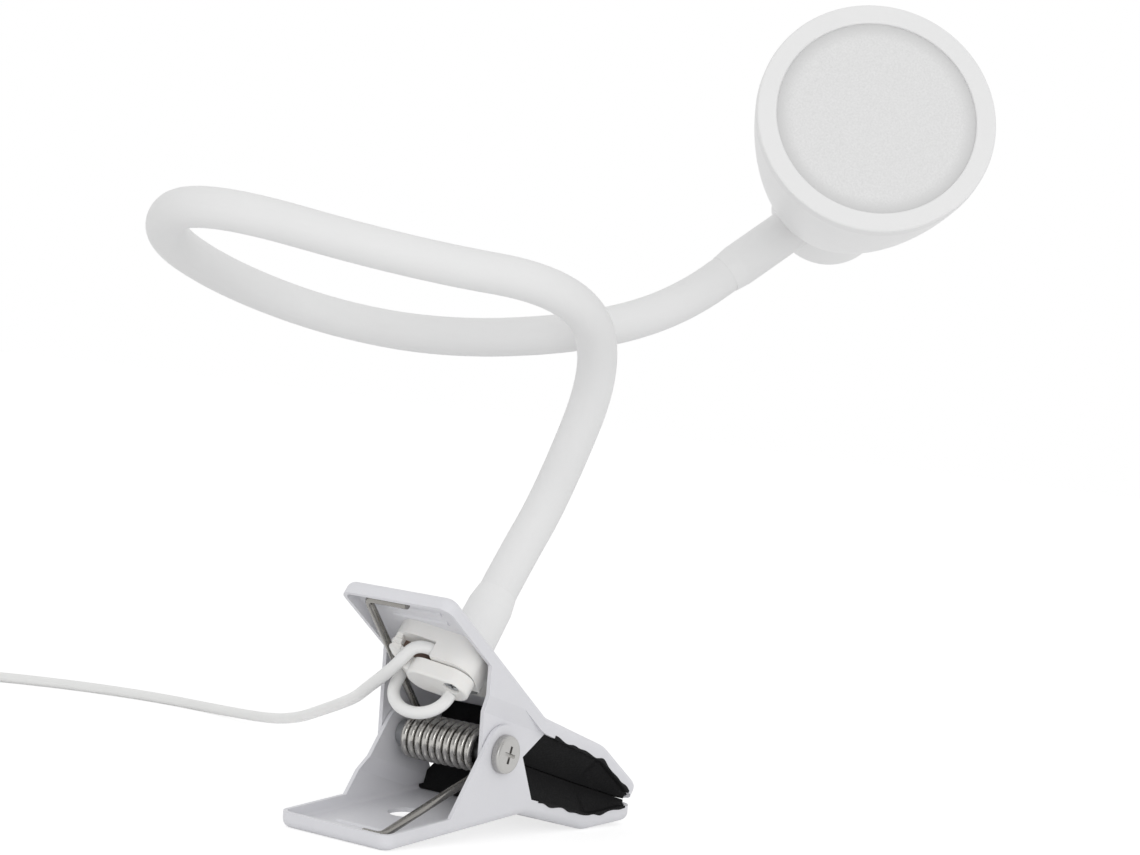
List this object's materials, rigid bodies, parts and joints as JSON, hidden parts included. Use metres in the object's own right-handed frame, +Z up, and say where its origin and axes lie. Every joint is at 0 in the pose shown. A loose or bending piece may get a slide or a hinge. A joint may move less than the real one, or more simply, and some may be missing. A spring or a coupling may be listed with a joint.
{
  "type": "clip-on reading lamp",
  "caption": "Clip-on reading lamp with a sprung pressed-steel clamp lined with rubber, a looped covered gooseneck and a bell-shaped LED head behind a flat diffuser.",
  "frame": {"origin": "middle of the lamp's footprint box, on the table, the free cord left out", "axes": "+Z up, +X from the handles towards the jaws, Y along the clamp's pivot, with the near side at -Y"},
  "size_m": [0.1864, 0.402, 0.2409],
  "materials": {
    "painted_steel": "smooth white powder coat",
    "liner_rubber": "matte black, fine grain",
    "bright_steel": "bright nickel plate",
    "plain_steel": "zinc plate",
    "core_steel": "wound steel",
    "anchor_plastic": "satin white",
    "sleeve_silicone": "matte white silicone",
    "collar_plastic": "matte white",
    "housing_plastic": "satin white",
    "diffuser_plastic": "frosted opal",
    "reflector_plastic": "gloss white",
    "board_metal": "white solder mask on aluminium",
    "chip_resin": "yellow phosphor resin",
    "switch_plastic": "matte black",
    "button_plastic": "satin white",
    "lead_insulation": "white insulation",
    "cord_jacket": "satin white",
    "plug_metal": "nickel plate"
  },
  "bodies": {
    "lower_lever": {"lower_lever": "painted_steel", "lower_jaw_liner": "liner_rubber", "pivot_tube": "plain_steel", "pivot_screws": "bright_steel", "torsion_spring": "bright_steel", "cord_tube": "cord_jacket", "cord_coil": "cord_jacket", "cord_tie": "switch_plastic", "tail_lead": "cord_jacket", "plug_body": "cord_jacket", "plug_shell": "plug_metal", "plug_tongue": "switch_plastic"},
    "upper_lever": {"upper_lever": "painted_steel", "upper_jaw_liner": "liner_rubber", "anchor_base": "anchor_plastic", "anchor_saddle": "anchor_plastic", "saddle_screw": "plain_steel", "neck_nut": "plain_steel", "cord_loop": "cord_jacket", "base_collar": "collar_plastic", "neck_sleeve_1": "sleeve_silicone", "neck_core_1": "core_steel", "neck_lead_1": "lead_insulation"},
    "neck_2": {"neck_sleeve_2": "sleeve_silicone", "neck_core_2": "core_steel", "neck_lead_2": "lead_insulation"},
    "neck_3": {"neck_sleeve_3": "sleeve_silicone", "neck_core_3": "core_steel", "neck_lead_3": "lead_insulation"},
    "neck_4": {"neck_sleeve_4": "sleeve_silicone", "neck_core_4": "core_steel", "neck_lead_4": "lead_insulation"},
    "neck_5": {"neck_sleeve_5": "sleeve_silicone", "neck_core_5": "core_steel", "neck_lead_5": "lead_insulation"},
    "head": {"neck_sleeve_6": "sleeve_silicone", "neck_core_6": "core_steel", "neck_lead_6": "lead_insulation", "tip_collar": "collar_plastic", "tip_nut": "plain_steel", "head_housing": "housing_plastic", "front_bezel": "housing_plastic", "diffuser": "diffuser_plastic", "reflector_ring": "reflector_plastic", "led_board": "board_metal", "led_chips": "chip_resin", "board_screws": "plain_steel", "switch_body": "switch_plastic"},
    "button": {"switch_button": "button_plastic"}
  },
  "joints": [
    {"name": "clamp_hinge", "type": "hinge", "parent": "lower_lever", "child": "upper_lever", "pos_m": [-0.01034, 0.0139, 0.02431], "axis": [0, -1, 0], "range_deg": [0, 35], "stiffness_Nm_per_rad": 0.95, "springref_deg": -42.97, "deforming": ["torsion_spring", "cord_tube"]},
    {"name": "neck_bend_1", "type": "hinge", "parent": "upper_lever", "child": "neck_2", "pos_m": [0.01232, 0.00956, 0.08636], "axis": [0.3256, 0.9455, 0], "range_deg": [-20, 20]},
    {"name": "neck_bend_2", "type": "hinge", "parent": "neck_2", "child": "neck_3", "pos_m": [-0.03649, -0.00562, 0.15487], "axis": [0.0329, -0.0282, 0.9991], "range_deg": [-3, 25]},
    {"name": "neck_bend_3", "type": "hinge", "parent": "neck_3", "child": "neck_4", "pos_m": [0.00499, 0.07999, 0.13874], "axis": [-0.9271, -0.3749, 0], "range_deg": [-4, 25]},
    {"name": "neck_bend_4", "type": "hinge", "parent": "neck_4", "child": "neck_5", "pos_m": [0.02472, -0.00201, 0.14647], "axis": [-0.254, 0.2319, 0.939], "range_deg": [-25, 25]},
    {"name": "neck_bend_5", "type": "hinge", "parent": "neck_5", "child": "head", "pos_m": [0.04011, -0.01499, 0.15636], "axis": [0.6221, 0.7829, 0], "range_deg": [-28, 28]},
    {"name": "switch_press", "type": "slide", "parent": "head", "child": "button", "axis": [-0.7521, -0.5939, 0.2857], "range_m": [0, 0.0015], "stiffness_N_per_m": 300, "springref_m": -0.004}
  ]
}
